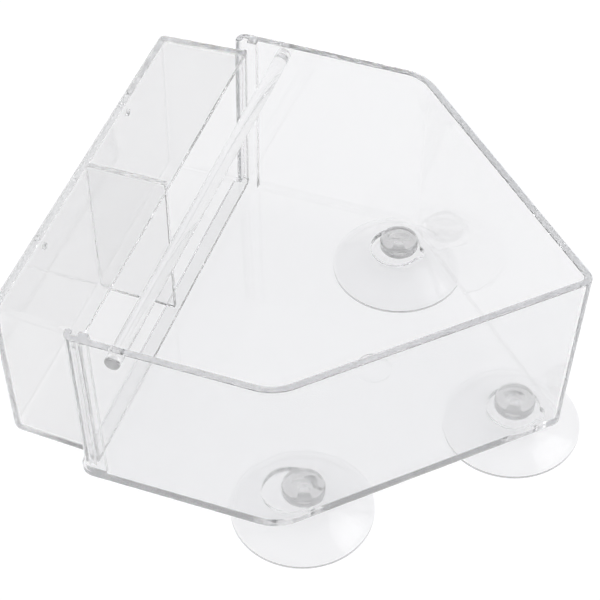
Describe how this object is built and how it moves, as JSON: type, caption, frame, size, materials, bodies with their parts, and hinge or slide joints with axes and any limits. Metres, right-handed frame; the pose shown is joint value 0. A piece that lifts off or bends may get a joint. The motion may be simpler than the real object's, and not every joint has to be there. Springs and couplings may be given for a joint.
{
  "type": "window bird feeder",
  "caption": "House-shaped clear plastic window bird feeder with a sliding seed tray and a perch rod, held on glass by suction cups in keyholes.",
  "frame": {"origin": "under the middle of the whole feeder, in the plane of the suction cups' rims, which is the window's surface", "axes": "+Z away from the window glass, out of the open front; +Y up when the feeder hangs, towards the roof's ridge; X across the width"},
  "size_m": [0.16, 0.1742, 0.0773],
  "materials": {
    "clear_plastic": "clear, polished injection-moulded plastic",
    "soft_clear_plastic": "clear, soft, slightly hazy moulded plastic"
  },
  "bodies": {
    "housing": {"housing": "clear_plastic", "perch_rod": "clear_plastic"},
    "tray": {"tray": "clear_plastic"},
    "cup_right": {"suction_cup_right": "soft_clear_plastic"},
    "cup_left": {"suction_cup_left": "soft_clear_plastic"},
    "cup_top": {"suction_cup_top": "soft_clear_plastic"}
  },
  "joints": [
    {"name": "tray_slide", "type": "slide", "parent": "housing", "child": "tray", "axis": [0, 0, 1], "range_m": [0, 0.055]},
    {"name": "cup_right_slide", "type": "slide", "parent": "housing", "child": "cup_right", "axis": [0, 1, 0], "range_m": [-0.0045, 0]},
    {"name": "cup_left_slide", "type": "slide", "parent": "housing", "child": "cup_left", "axis": [0, 1, 0], "range_m": [-0.0012, 0.0035]},
    {"name": "cup_top_slide", "type": "slide", "parent": "housing", "child": "cup_top", "axis": [0, 1, 0], "range_m": [-0.0002, 0.0045]}
  ]
}
